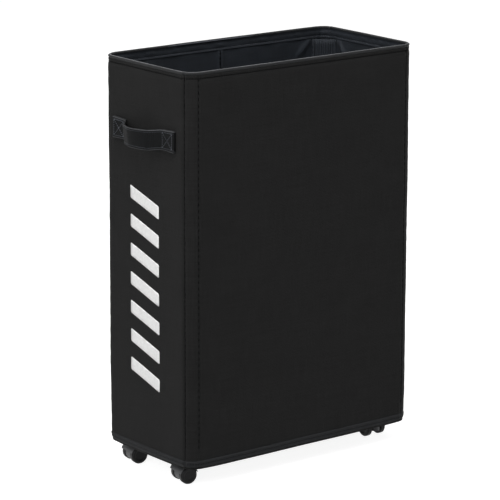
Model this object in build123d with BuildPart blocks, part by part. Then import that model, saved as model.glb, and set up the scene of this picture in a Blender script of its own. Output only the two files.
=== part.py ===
from build123d import *
import os
from math import asin, atan2, cos, hypot, radians, sin, sqrt

os.makedirs("parts", exist_ok=True)

# A slim fabric laundry hamper on four twin-wheel casters, in millimetres with +Z up.
# The origin is on the floor under the middle of the bag. The long walls face -Y and +Y,
# and the end walls, which carry the strap handles, face -X and +X.

# Bag
bag_length = 400.0
bag_width = 200.0
bag_height = 555.0
bag_corner_radius = 22.0
panel_cloth = 1.2
lining_cloth = 0.8
layer_gap = 0.05  # between layers that are sewn together
seam_inset = 13.0  # from the face of a long wall to its seam with an end wall

# Mouth
rim_wire_diameter = 2.5
rim_wire_play = 0.1
hem_cloth = 0.8
hem_depth = 17.0  # from the top of the rim to the lower edge of the facing

# Lower edge
binding_cloth = 0.8
binding_height = 8.0
binding_return = 10.0  # how far the tape turns in under the bag

# Support poles and their sleeves
pole_diameter = 8.0
pole_wall = 1.0
pole_play = 0.4
pole_seat_gap = 0.3
plug_head = 2.0
plug_depth = 9.0
plug_play = 0.05
sleeve_cloth = 1.0
sleeve_flange = 3.0
sleeve_bend_radius = 2.0
sleeve_end_gap = 1.0

# Strap handles
strap_thickness = 2.0
strap_width = 28.0
strap_length = 140.0
strap_drop = 98.0  # from the top of the rim down to the middle of the strap
strap_loop_half = 53.0  # from the middle of the strap to where it leaves the wall
strap_peak = 38.0  # where the two sloping legs of the loop would meet
strap_crown_radius = 56.0
strap_foot_radius = 10.0

# Base board
board_thickness = 5.0
board_play = 0.6
nut_flange_radius = 9.0
nut_flange = 1.4
nut_barrel_radius = 5.2
nut_play = 0.1

# Casters
caster_inset_x = 30.0  # from the end wall to the swivel axis
caster_inset_y = 42.0
wheel_diameter = 25.0
wheel_width = 8.5
wheel_side_gap = 0.5
housing_width = 15.5
hood_gap = 0.6
hood_wall = 1.0
hood_skirt = 4.0  # from the axle up to the lower edges of the hood
hood_edge_radius = 0.5
web_radius = 7.5
rear_web_radius = 11.3
trail = 8.0  # from the swivel axis back to the axle
axle_diameter = 4.0
axle_play = 0.05
axle_grip = 0.02
axle_end_gap = 0.3
axle_chamfer = 0.4
boss_radius = 6.5
boss_drop = 4.0  # from the axle down to the lower end of the swivel boss
boss_rise = 0.3
swivel_gap = 0.3
collar_radius = 7.0
collar_thickness = 1.8
stem_diameter = 8.0
stem_play = 0.05
pin_diameter = 7.0
pin_play = 0.05
ring_pocket_radius = 5.0
ring_pocket_depth = 4.0
ring_radius = 4.6
ring_thickness = 0.8
ring_gap = 0.3
groove_depth = 0.6
pin_tip = 1.2
pin_chamfer = 0.5

# Wheel section
wheel_rim = 2.6
wheel_hub_radius = 4.0
wheel_recess = 4.5
wheel_bore_depth = 6.5
wheel_dish = 0.8
wheel_dish_radius = 6.5
wheel_face_radius = 8.0
wheel_edge_outer = 1.8
wheel_edge_inner = 1.2
wheel_rib_count = 6
wheel_rib = 1.0
wheel_rib_setback = 1.5

# Heights of the casters, from the floor up
wheel_radius = wheel_diameter / 2
axle_level = wheel_radius
hood_inner_radius = wheel_radius + hood_gap
hood_outer_radius = hood_inner_radius + hood_wall
boss_bottom = axle_level - boss_drop
boss_top = axle_level + hood_outer_radius + boss_rise
collar_bottom = boss_top + swivel_gap

# Heights of the bag
bag_bottom = collar_bottom + collar_thickness
bag_top = bag_bottom + bag_height
floor_cloth_top = bag_bottom + panel_cloth
board_bottom = floor_cloth_top + layer_gap
board_top = board_bottom + board_thickness
roll_radius = rim_wire_diameter / 2 + rim_wire_play + hem_cloth
roll_level = bag_top - roll_radius
wall_top = bag_top - 2 * roll_radius
facing_bottom = bag_top - hem_depth

# Depths into the bag, measured inwards from the outer face of the cloth
lining_outer_inset = panel_cloth + layer_gap
lining_inner_inset = lining_outer_inset + lining_cloth
facing_outer_inset = lining_inner_inset + layer_gap
facing_inner_inset = facing_outer_inset + hem_cloth
board_inset = facing_inner_inset + board_play
binding_outer_inset = -layer_gap - binding_cloth

corners = {
    "front_left": (-1, -1),
    "front_right": (1, -1),
    "back_right": (1, 1),
    "back_left": (-1, 1),
}


def bag_outline(inset, mode=Mode.ADD):
    """The rounded plan of the bag, drawn in by a distance from its outer face."""
    length = bag_length - 2 * inset
    width = bag_width - 2 * inset
    return RectangleRounded(length, width, bag_corner_radius - inset, mode=mode)


def at_corner(side, along, across):
    """A plan point given by its distances in from the end wall and the long wall of a corner."""
    return (side[0] * (bag_length / 2 - along), side[1] * (bag_width / 2 - across))


# Outer cloth: the long walls wrap round the corners and the end walls fill in between the seams.
seam_y = bag_width / 2 - seam_inset

for name, side in (("front_panel", -1), ("back_panel", 1)):
    with BuildPart() as long_panel:
        with BuildSketch(Plane.XY.offset(bag_bottom)):
            bag_outline(0)
            bag_outline(panel_cloth, mode=Mode.SUBTRACT)
            with Locations((0, side * (seam_y + bag_width / 2))):
                Rectangle(2 * bag_length, bag_width, mode=Mode.INTERSECT)
        extrude(amount=wall_top - bag_bottom)
    long_panel.part.label = name
    export_step(long_panel.part, f"parts/{name}.step")

for name, side in (("left_panel", -1), ("right_panel", 1)):
    with BuildPart() as end_panel:
        with BuildSketch(Plane.XY.offset(bag_bottom)):
            bag_outline(0)
            bag_outline(panel_cloth, mode=Mode.SUBTRACT)
            with Locations((side * bag_length / 2, 0)):
                Rectangle(bag_length, 2 * seam_y, mode=Mode.INTERSECT)
        extrude(amount=wall_top - bag_bottom)
    end_panel.part.label = name
    export_step(end_panel.part, f"parts/{name}.step")

# Lining: a tube of thinner cloth against the inside of the walls, standing on the bottom cloth.
with BuildPart() as lining:
    with BuildSketch(Plane.XY.offset(floor_cloth_top + layer_gap)):
        bag_outline(lining_outer_inset)
        bag_outline(lining_inner_inset, mode=Mode.SUBTRACT)
    extrude(amount=wall_top - floor_cloth_top - layer_gap)
lining.part.label = "lining"
export_step(lining.part, "parts/lining.step")

# Rim: cloth rolled round a wire hoop, with a facing that hangs down inside the mouth.
with BuildLine(Plane.XY.offset(roll_level)) as rim_path:
    rim_x = bag_length / 2 - roll_radius
    rim_y = bag_width / 2 - roll_radius
    rim_r = bag_corner_radius - roll_radius
    FilletPolyline(
        (0, -rim_y),
        (rim_x, -rim_y),
        (rim_x, rim_y),
        (-rim_x, rim_y),
        (-rim_x, -rim_y),
        radius=(0, rim_r, rim_r, rim_r, rim_r),
        close=True,
    )
rim_section = Plane(origin=(0, -rim_y, roll_level), x_dir=(0, 1, 0), z_dir=(1, 0, 0))
rim_wire_radius = rim_wire_diameter / 2

with BuildPart() as top_hem:
    with BuildSketch(rim_section):
        Circle(roll_radius)
    sweep(path=rim_path.wire())
    with BuildSketch(Plane.XY.offset(facing_bottom)):
        bag_outline(facing_outer_inset)
        bag_outline(facing_inner_inset, mode=Mode.SUBTRACT)
    extrude(amount=roll_level - facing_bottom)
    with BuildSketch(rim_section):
        Circle(rim_wire_radius + rim_wire_play)
    sweep(path=rim_path.wire(), mode=Mode.SUBTRACT)
top_hem.part.label = "top_hem"
export_step(top_hem.part, "parts/top_hem.step")

with BuildPart() as rim_wire:
    with BuildSketch(rim_section):
        Circle(rim_wire_radius)
    sweep(path=rim_path.wire())
rim_wire.part.label = "rim_wire"
export_step(rim_wire.part, "parts/rim_wire.step")

# Lower edge: a tape bound round the foot of the walls and turned in under the bag.
binding_bottom = bag_bottom - layer_gap - binding_cloth

with BuildPart() as bottom_binding:
    with BuildSketch(Plane.XY.offset(binding_bottom)):
        bag_outline(binding_outer_inset)
        bag_outline(binding_return, mode=Mode.SUBTRACT)
    extrude(amount=binding_cloth)
    with BuildSketch(Plane.XY.offset(binding_bottom)):
        bag_outline(binding_outer_inset)
        bag_outline(-layer_gap, mode=Mode.SUBTRACT)
    extrude(amount=binding_cloth + layer_gap + binding_height)
bottom_binding.part.label = "bottom_binding"
export_step(bottom_binding.part, "parts/bottom_binding.step")

# Support poles: they stand just inside the rolled rim, so that they lift straight out.
pole_radius = pole_diameter / 2
pole_reach = bag_corner_radius - 2 * roll_radius - pole_play - pole_radius
pole_inset = bag_corner_radius - pole_reach / sqrt(2)
pole_foot = floor_cloth_top + pole_seat_gap
sleeve_top = facing_bottom - sleeve_end_gap
pole_top = sleeve_top - sleeve_end_gap
plug_radius = pole_radius - pole_wall - plug_play

# Sleeves: a strip of cloth across each corner, sewn flat to both walls and drawn round the pole.
sleeve_line = lining_inner_inset + layer_gap + sleeve_cloth / 2
sleeve_bend = bag_corner_radius + sleeve_bend_radius
wrap_radius = pole_radius + pole_play + sleeve_cloth / 2
pole_from_bend = (pole_inset - sleeve_bend, pole_inset - sleeve_line)
leg_angle = atan2(pole_from_bend[1], pole_from_bend[0]) - asin(wrap_radius / hypot(*pole_from_bend))
leg_length = (sleeve_bend - sleeve_line) / (sin(leg_angle) - cos(leg_angle))
sleeve_peak = sleeve_line + leg_length * sin(leg_angle)
sleeve_end = sleeve_bend + sleeve_flange

for corner, side in corners.items():
    pole_xy = at_corner(side, pole_inset, pole_inset)

    with BuildPart() as corner_sleeve:
        with BuildSketch(Plane.XY.offset(board_bottom)):
            with BuildLine():
                FilletPolyline(
                    at_corner(side, sleeve_end, sleeve_line),
                    at_corner(side, sleeve_bend, sleeve_line),
                    at_corner(side, sleeve_peak, sleeve_peak),
                    at_corner(side, sleeve_line, sleeve_bend),
                    at_corner(side, sleeve_line, sleeve_end),
                    radius=(sleeve_bend_radius, wrap_radius, sleeve_bend_radius),
                )
            trace(line_width=sleeve_cloth)
        extrude(amount=sleeve_top - board_bottom)
    corner_sleeve.part.label = f"corner_sleeve_{corner}"
    export_step(corner_sleeve.part, f"parts/corner_sleeve_{corner}.step")

    with BuildPart() as corner_pole:
        with BuildSketch(Plane.XY.offset(pole_foot + plug_head)):
            with Locations(pole_xy):
                Circle(pole_radius)
                Circle(pole_radius - pole_wall, mode=Mode.SUBTRACT)
        extrude(amount=pole_top - pole_foot - 2 * plug_head)
    corner_pole.part.label = f"corner_pole_{corner}"
    export_step(corner_pole.part, f"parts/corner_pole_{corner}.step")

    with BuildPart() as pole_plugs:
        with BuildSketch(Plane.XY.offset(pole_foot)):
            with Locations(pole_xy):
                Circle(pole_radius)
        extrude(amount=plug_head)
        with BuildSketch(Plane.XY.offset(pole_foot)):
            with Locations(pole_xy):
                Circle(plug_radius)
        extrude(amount=plug_depth)
        with BuildSketch(Plane.XY.offset(pole_top - plug_head)):
            with Locations(pole_xy):
                Circle(pole_radius)
        extrude(amount=plug_head)
        with BuildSketch(Plane.XY.offset(pole_top - plug_depth)):
            with Locations(pole_xy):
                Circle(plug_radius)
        extrude(amount=plug_depth)
    pole_plugs.part.label = f"pole_plugs_{corner}"
    export_step(pole_plugs.part, f"parts/pole_plugs_{corner}.step")

# Strap handles: webbing sewn flat at both ends, with a loop for the hand standing off the wall.
strap_bottom = bag_top - strap_drop - strap_width / 2

for name, side in (("handle_strap_left", -1), ("handle_strap_right", 1)):
    strap_x = bag_length / 2 + layer_gap + strap_thickness / 2
    with BuildPart() as handle_strap:
        with BuildSketch(Plane.XY.offset(strap_bottom)):
            with BuildLine():
                FilletPolyline(
                    (side * strap_x, strap_length / 2),
                    (side * strap_x, strap_loop_half),
                    (side * (strap_x + strap_peak), 0),
                    (side * strap_x, -strap_loop_half),
                    (side * strap_x, -strap_length / 2),
                    radius=(strap_foot_radius, strap_crown_radius, strap_foot_radius),
                )
            trace(line_width=strap_thickness)
        extrude(amount=strap_width)
    handle_strap.part.label = name
    export_step(handle_strap.part, f"parts/{name}.step")

# Bottom: a cloth sewn across the foot of the bag, with a stiff board on it for the casters.
caster_x = bag_length / 2 - caster_inset_x
caster_y = bag_width / 2 - caster_inset_y
stem_points = [(side[0] * caster_x, side[1] * caster_y) for side in corners.values()]
stem_radius = stem_diameter / 2
nut_flange_seat = nut_flange + nut_play
board_clip = 2 * (sleeve_peak + sleeve_cloth - board_inset) + board_play

with BuildPart() as bottom_panel:
    with BuildSketch(Plane.XY.offset(bag_bottom)):
        bag_outline(lining_outer_inset)
        with Locations(*stem_points):
            Circle(stem_radius + stem_play, mode=Mode.SUBTRACT)
    extrude(amount=panel_cloth)
bottom_panel.part.label = "bottom_panel"
export_step(bottom_panel.part, "parts/bottom_panel.step")

with BuildPart() as base_board:
    with BuildSketch(Plane.XY.offset(board_bottom)) as board_plan:
        Rectangle(bag_length - 2 * board_inset, bag_width - 2 * board_inset)
        chamfer(board_plan.vertices(), length=board_clip)
    extrude(amount=board_thickness)
    with Locations(Plane.XY.offset(board_top)):
        with Locations(*stem_points):
            CounterBoreHole(
                radius=nut_barrel_radius + nut_play,
                counter_bore_radius=nut_flange_radius + nut_play,
                counter_bore_depth=nut_flange_seat,
            )
base_board.part.label = "base_board"
export_step(base_board.part, "parts/base_board.step")

with BuildPart() as base_nuts:
    with BuildSketch(Plane.XY.offset(board_bottom)):
        with Locations(*stem_points):
            Circle(nut_barrel_radius)
    extrude(amount=board_thickness - nut_flange_seat)
    with BuildSketch(Plane.XY.offset(board_top - nut_flange_seat)):
        with Locations(*stem_points):
            Circle(nut_flange_radius)
    extrude(amount=nut_flange)
    with BuildSketch(Plane.XY.offset(board_bottom)):
        with Locations(*stem_points):
            Circle(stem_radius + stem_play)
    extrude(amount=board_thickness, mode=Mode.SUBTRACT)
base_nuts.part.label = "base_nuts"
export_step(base_nuts.part, "parts/base_nuts.step")

# Casters: a moulded housing swivels on a stem screwed up into the board, and carries two wheels.
# The heading is the way the swivel axis leads and the wheels trail.
caster_heading = {"front_left": -10.0, "front_right": -90.0, "back_right": -90.0, "back_left": -10.0}
caster_width = housing_width + 2 * (wheel_side_gap + wheel_width)
pin_radius = pin_diameter / 2
axle_radius = axle_diameter / 2
axle_length = housing_width + 2 * (wheel_side_gap + wheel_bore_depth - axle_end_gap)
ring_shoulder = boss_bottom + ring_pocket_depth
pocket_bottom = axle_level - max(web_radius, boss_drop)
ring_top = ring_shoulder - ring_gap
ring_bottom = ring_top - ring_thickness
pin_bottom = ring_bottom - pin_tip
groove_radius = pin_radius - groove_depth
hood_reach = 2 * hood_outer_radius


def is_hood_edge(edge):
    return abs(edge.radius - hood_outer_radius) < layer_gap


for corner, side in corners.items():
    heading = radians(caster_heading[corner])
    lead = Vector(cos(heading), sin(heading), 0)
    across = Vector(-sin(heading), cos(heading), 0)
    foot = Vector(side[0] * caster_x, side[1] * caster_y, 0)
    axle_centre = foot - lead * trail + Vector(0, 0, axle_level)
    upright = Plane(origin=foot, x_dir=lead, z_dir=(0, 0, 1))
    profile = Plane(origin=axle_centre, x_dir=lead, z_dir=across * -1)

    with BuildPart() as caster_stem:
        with BuildSketch(upright.offset(pin_bottom)):
            Circle(pin_radius)
        extrude(amount=collar_bottom - pin_bottom)
        chamfer(caster_stem.edges().sort_by(Axis.Z)[0], length=pin_chamfer)
        with BuildSketch(upright.offset(ring_bottom)):
            Circle(pin_radius)
            Circle(groove_radius, mode=Mode.SUBTRACT)
        extrude(amount=ring_thickness, mode=Mode.SUBTRACT)
        with BuildSketch(upright.offset(collar_bottom)):
            Circle(collar_radius)
        extrude(amount=collar_thickness)
        with BuildSketch(upright.offset(bag_bottom)):
            Circle(stem_radius)
        extrude(amount=board_top - nut_flange_seat - bag_bottom)
    caster_stem.part.label = f"caster_stem_{corner}"
    export_step(caster_stem.part, f"parts/caster_stem_{corner}.step")

    with BuildPart() as caster_ring:
        with BuildSketch(upright.offset(ring_bottom)):
            Circle(ring_radius)
            Circle(groove_radius, mode=Mode.SUBTRACT)
        extrude(amount=ring_thickness)
    caster_ring.part.label = f"caster_ring_{corner}"
    export_step(caster_ring.part, f"parts/caster_ring_{corner}.step")

    with BuildPart() as caster_housing:
        # The hood curves over both wheels.
        with BuildSketch(profile):
            Circle(hood_outer_radius)
            Circle(hood_inner_radius, mode=Mode.SUBTRACT)
            with Locations((0, hood_skirt + hood_outer_radius)):
                Rectangle(hood_reach, hood_reach, mode=Mode.INTERSECT)
        extrude(amount=caster_width / 2, both=True)
        # The web fills the space between the wheels from the axle up to the hood.
        with BuildSketch(profile):
            Circle(hood_outer_radius)
            with Locations((0, hood_skirt + hood_outer_radius)):
                Rectangle(hood_reach, hood_reach, mode=Mode.INTERSECT)
            Circle(web_radius)
        extrude(amount=housing_width / 2, both=True)
        # Behind the axle the web swells out to just short of the treads.
        with BuildSketch(profile):
            Circle(rear_web_radius)
            with Locations((-rear_web_radius / 2, (rear_web_radius - web_radius) / 2)):
                Rectangle(rear_web_radius, rear_web_radius + web_radius, mode=Mode.INTERSECT)
        extrude(amount=housing_width / 2, both=True)
        with BuildSketch(upright.offset(boss_bottom)):
            Circle(boss_radius)
        extrude(amount=boss_top - boss_bottom)
        hood_edges = caster_housing.edges().filter_by(GeomType.CIRCLE)
        fillet(hood_edges.filter_by(is_hood_edge), radius=hood_edge_radius)
        # Bores for the stem and its ring from below, and for the axle from side to side.
        with BuildSketch(upright.offset(boss_bottom)):
            Circle(pin_radius + pin_play)
        extrude(amount=boss_top - boss_bottom, mode=Mode.SUBTRACT)
        with BuildSketch(upright.offset(pocket_bottom)):
            Circle(ring_pocket_radius)
        extrude(amount=ring_shoulder - pocket_bottom, mode=Mode.SUBTRACT)
        with BuildSketch(profile):
            Circle(axle_radius + axle_grip)
        extrude(amount=caster_width / 2, both=True, mode=Mode.SUBTRACT)
    caster_housing.part.label = f"caster_housing_{corner}"
    export_step(caster_housing.part, f"parts/caster_housing_{corner}.step")

    with BuildPart() as caster_axle:
        with BuildSketch(profile):
            Circle(axle_radius)
        extrude(amount=axle_length / 2, both=True)
        chamfer(caster_axle.edges(), length=axle_chamfer)
    caster_axle.part.label = f"caster_axle_{corner}"
    export_step(caster_axle.part, f"parts/caster_axle_{corner}.step")

    for number, outward in ((1, across), (2, across * -1)):
        inner_face = axle_centre + outward * (housing_width / 2 + wheel_side_gap)
        section = Plane(origin=inner_face, x_dir=outward, z_dir=outward.cross(Vector(0, 0, 1)))
        disc = Plane(origin=inner_face + outward * wheel_rib_setback, x_dir=(0, 0, 1), z_dir=outward)
        rib_inner = wheel_hub_radius - wheel_rib / 2
        rib_outer = wheel_radius - wheel_rim / 2

        with BuildPart() as caster_wheel:
            with BuildSketch(section):
                with BuildLine():
                    Polyline(
                        (0, axle_radius + axle_play),
                        (wheel_bore_depth, axle_radius + axle_play),
                        (wheel_bore_depth, 0),
                        (wheel_width - wheel_dish, 0),
                        (wheel_width - wheel_dish, wheel_dish_radius),
                        (wheel_width, wheel_face_radius),
                        (wheel_width, wheel_radius - wheel_edge_outer),
                        (wheel_width - wheel_edge_outer, wheel_radius),
                        (wheel_edge_inner, wheel_radius),
                        (0, wheel_radius - wheel_edge_inner),
                        (0, wheel_radius - wheel_rim),
                        (wheel_recess, wheel_radius - wheel_rim),
                        (wheel_recess, wheel_hub_radius),
                        (0, wheel_hub_radius),
                        close=True,
                    )
                make_face()
            revolve(axis=Axis(inner_face, outward))
            with BuildSketch(disc):
                with PolarLocations((rib_inner + rib_outer) / 2, wheel_rib_count):
                    Rectangle(rib_outer - rib_inner, wheel_rib)
            extrude(amount=wheel_recess - wheel_rib_setback)
        caster_wheel.part.label = f"caster_wheel_{corner}_{number}"
        export_step(caster_wheel.part, f"parts/caster_wheel_{corner}_{number}.step")
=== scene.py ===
from math import atan2, copysign, cos, exp, hypot, pi, radians, sin

import bmesh
import bpy
from mathutils import Matrix, Vector, noise


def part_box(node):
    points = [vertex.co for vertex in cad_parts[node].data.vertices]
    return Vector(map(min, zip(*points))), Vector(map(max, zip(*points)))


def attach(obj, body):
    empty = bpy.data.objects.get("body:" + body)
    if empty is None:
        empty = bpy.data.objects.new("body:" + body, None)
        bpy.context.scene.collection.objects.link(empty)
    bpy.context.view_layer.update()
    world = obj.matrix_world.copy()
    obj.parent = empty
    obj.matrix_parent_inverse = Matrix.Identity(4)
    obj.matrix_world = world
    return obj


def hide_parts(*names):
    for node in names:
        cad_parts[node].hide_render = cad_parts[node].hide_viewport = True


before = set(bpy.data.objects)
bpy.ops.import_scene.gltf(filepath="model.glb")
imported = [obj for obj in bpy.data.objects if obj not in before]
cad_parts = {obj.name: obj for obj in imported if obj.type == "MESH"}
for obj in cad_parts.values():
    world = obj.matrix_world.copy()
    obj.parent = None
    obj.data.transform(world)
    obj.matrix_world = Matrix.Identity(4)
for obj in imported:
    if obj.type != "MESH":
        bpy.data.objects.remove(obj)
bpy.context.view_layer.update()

# Bag walls: four panels of black polyester Oxford cloth, cut flat and sewn edge to edge. The long
# panels wrap round the corners and meet the end panels in seams that sink into the cloth. The walls
# hang a little hollow between the corner poles, and the wire in the rim bows them out at the top.
half_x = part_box("right_panel")[1].x
half_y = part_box("back_panel")[1].y
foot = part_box("front_panel")[0].z
rim_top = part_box("top_hem")[1].z
seam_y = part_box("left_panel")[1].y
panel_cloth = 0.0012
corner_radius = 0.022
corner_steps = 24
straight_x = half_x - corner_radius
straight_y = half_y - corner_radius
corner_arc = corner_radius * pi / 2
corner_middle = straight_x + corner_arc / 2
quarter_round = straight_x + corner_arc + straight_y


def outward(x, y):
    """The way out of the bag, square to its rounded plan."""
    past_x = max(abs(x) - straight_x, 0.0)
    past_y = max(abs(y) - straight_y, 0.0)
    return Vector((copysign(past_x, x), copysign(past_y, y), 0.0)).normalized()


def reach(x, y):
    """The distance along the plan from the middle of the nearest long wall."""
    past_x = max(abs(x) - straight_x, 0.0)
    past_y = max(abs(y) - straight_y, 0.0)
    turned = corner_radius * atan2(past_x, past_y)
    return min(abs(x), straight_x) + turned + straight_y - min(abs(y), straight_y)


def round_the_bag(x, y):
    """The distance round the plan from the middle of the back, by way of the left end."""
    if y > 0:
        return reach(x, y) if x <= 0 else 4 * quarter_round - reach(x, y)
    return 2 * quarter_round + copysign(reach(x, y), x)


def round_corners(bm, verts, offset, segments):
    """Rounds the corners of an outline or the bends of a path, from that far before each."""
    bmesh.ops.bevel(bm, geom=verts, affect="VERTICES", offset=offset, segments=segments, profile=0.5,
                    material=-1)


def extrude_row(bm, ring):
    """Extrudes a row of edges, and returns the new vertices and the edges that join them."""
    made = bmesh.ops.extrude_edge_only(bm, edges=ring)["geom"]
    verts = {g for g in made if isinstance(g, bmesh.types.BMVert)}
    return verts, [g for g in made if isinstance(g, bmesh.types.BMEdge) and verts.issuperset(g.verts)]


def loft(rows, columns=0.006):
    """A tube of cloth round the bag through rows of (inset, height), with its UV map in metres."""
    bm = bmesh.new()
    plan = Matrix.Diagonal((half_x, half_y, 1.0, 1.0))
    bmesh.ops.create_grid(bm, x_segments=1, y_segments=1, size=1.0, matrix=plan)
    round_corners(bm, bm.verts[:], corner_radius, corner_steps)
    bmesh.ops.delete(bm, geom=bm.faces[:], context="FACES_ONLY")
    for edge in [e for e in bm.edges if e.calc_length() > corner_radius]:
        bmesh.ops.subdivide_edges(bm, edges=[edge], cuts=round(edge.calc_length() / columns) - 1)
    up = bm.verts.layers.float.new("up")
    climbed = 0.0
    inset, height = rows[0]
    for vert in bm.verts:
        vert.co -= outward(vert.co.x, vert.co.y) * inset
        vert.co.z = height
    ring = bm.edges[:]
    for next_inset, next_height in rows[1:]:
        climbed += hypot(next_inset - inset, next_height - height)
        verts, ring = extrude_row(bm, ring)
        for vert in verts:
            vert.co += outward(vert.co.x, vert.co.y) * (inset - next_inset)
            vert.co.z = next_height
            vert[up] = climbed
        inset, height = next_inset, next_height
    cloth = bm.loops.layers.uv.new("cloth")
    for face in bm.faces:
        rounds = [round_the_bag(loop.vert.co.x, loop.vert.co.y) for loop in face.loops]
        wraps = max(rounds) - min(rounds) > quarter_round
        for loop, distance in zip(face.loops, rounds):
            if wraps and distance < quarter_round:
                distance += 4 * quarter_round
            loop[cloth].uv = (distance, loop.vert[up])
    return bm


def rows_length(rows):
    """The length of a loft's section, which is the width its cloth is cut to."""
    return sum(hypot(b[0] - a[0], b[1] - a[1]) for a, b in zip(rows, rows[1:]))


def divide_rows(bm, pitch):
    """Divides the tall strips of a loft into rows of about that height."""
    tall = {}
    for edge in bm.edges:
        rise = abs(edge.verts[0].co.z - edge.verts[1].co.z)
        if rise > 2 * pitch:
            tall.setdefault(round(rise / pitch) - 1, []).append(edge)
    for cuts, edges in tall.items():
        bmesh.ops.subdivide_edges(bm, edges=edges, cuts=cuts, use_grid_fill=True)


def slice_at(bm, places, way):
    """Cuts a mesh across at each place along a direction."""
    for place in places:
        everything = bm.verts[:] + bm.edges[:] + bm.faces[:]
        bmesh.ops.bisect_plane(bm, geom=everything, dist=1e-6, plane_co=way * place, plane_no=way)


def bump_at(distance, width):
    """A smooth bump of height 1 that has mostly gone at its width from the middle."""
    return exp(-((distance / width) ** 2))


def ripple(x, y, z, across, up, seed=0.0):
    """Smooth noise between about -1 and 1, with so many waves to a metre across and up."""
    return noise.noise(Vector((x * across, y * across, z * up + seed)))


x_way = Vector((1, 0, 0))
y_way = Vector((0, 1, 0))
z_way = Vector((0, 0, 1))
rim_bow = {"long": 0.0013, "end": 0.0006}
wall_hollow = {"long": 0.0015, "end": 0.0007}
seam_depth = 0.0022
seam_groove = 0.0009
seam_dash = 0.009
swell_height, swell_off, swell_width = 0.0005, 0.0042, 0.0022
sleeve_seam_depth = 0.0012
sleeve_seam_groove = 0.0014
sleeve_seam_x = 0.1835
sleeve_seam = reach(sleeve_seam_x, half_y)
seam_turn = (seam_y - straight_y) / corner_radius
seam_reach = straight_x + corner_radius * atan2((1 - seam_turn**2) ** 0.5, seam_turn)
strap_low, strap_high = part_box("handle_strap_left")
strap_level = (strap_low.z + strap_high.z) / 2
tab_middle = 0.060
tab_dent = 0.0005
tab_spread = {"across": 0.014, "up": 0.020}
corner_spread = 0.028
crimp_height = {"seam": 0.0006, "corner": 0.0008}
crimp_reach = {"seam": 0.008, "corner": 0.030}
drift_height = {"broad": 0.0007, "fine": 0.0003}
foot_tuck = 0.0022
tuck_reach = 0.006


def slack(x, y, z):
    """How far the wall cloth lies out from a true wall, or in from it with a minus sign."""
    rise = min(max((z - foot) / (rim_top - foot), 0.0), 1.0)
    along = reach(x, y)
    long_span = max(0.0, 1 - (along / straight_x) ** 2)
    end_span = max(0.0, 1 - ((quarter_round - along) / straight_y) ** 2)
    bow = (rim_bow["long"] * long_span + rim_bow["end"] * end_span) * rise**6
    hollow = (wall_hollow["long"] * long_span + wall_hollow["end"] * end_span) * sin(pi * rise)
    off_seam = abs(along - seam_reach)
    bite = 0.7 + 0.3 * sin(2 * pi * z / seam_dash)
    seams = swell_height * bump_at(off_seam - swell_off, swell_width)
    seams -= seam_depth * bite * bump_at(off_seam, seam_groove)
    seams -= sleeve_seam_depth * bite * bump_at(along - sleeve_seam, sleeve_seam_groove)
    corner = bump_at(along - corner_middle, corner_spread)
    crimp = ripple(x, y, z, 40, 95) * crimp_height["seam"] * exp(-off_seam / crimp_reach["seam"])
    at_rim = exp((z - rim_top) / crimp_reach["corner"])
    crimp += ripple(x, y, z, 60, 30, 5) * crimp_height["corner"] * corner * at_rim
    tuck = foot_tuck * corner * exp((foot - z) / tuck_reach)
    drift = ripple(x, y, z, 11, 9) * drift_height["broad"]
    drift += ripple(x, y, z, 26, 20, 7) * drift_height["fine"]
    tab = 0.0
    if abs(x) > straight_x:
        tab = tab_dent * bump_at(abs(y) - tab_middle, tab_spread["across"])
        tab *= bump_at(z - strap_level, tab_spread["up"])
    return bow - hollow + seams + crimp + drift - tuck - tab


def lay_on_wall(bm):
    """Moves cloth that follows the walls to where the slack wall is."""
    for vert in bm.verts:
        x, y, z = vert.co
        vert.co += outward(x, y) * slack(x, y, z)


def linear(hex_colour):
    """An sRGB colour such as 1d1e20 as linear red, green, blue and alpha."""
    levels = [int(hex_colour[i : i + 2], 16) / 255 for i in (0, 2, 4)]
    return [v / 12.92 if v <= 0.04045 else ((v + 0.055) / 1.055) ** 2.4 for v in levels] + [1.0]


def add(tree, kind, inputs, **settings):
    """Adds a node with its settings, and sets or links its inputs by name or number."""
    node = tree.nodes.new("ShaderNode" + kind)
    for name, value in settings.items():
        setattr(node, name, value)
    for name, value in inputs.items():
        if isinstance(value, bpy.types.NodeSocket):
            tree.links.new(value, node.inputs[name])
        else:
            node.inputs[name].default_value = value
    return node


def new_tree(name):
    """A new material and its empty node tree."""
    material = bpy.data.materials.new(name)
    material.use_nodes = True
    material.node_tree.nodes.clear()
    return material, material.node_tree


wave_unit = 2 * pi / 20  # the wave texture has 20 radians of wave to a unit
slub_width = 0.0022
slub_length = {"up": 0.045, "across": 0.060}
dye_patch = 0.05


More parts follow.
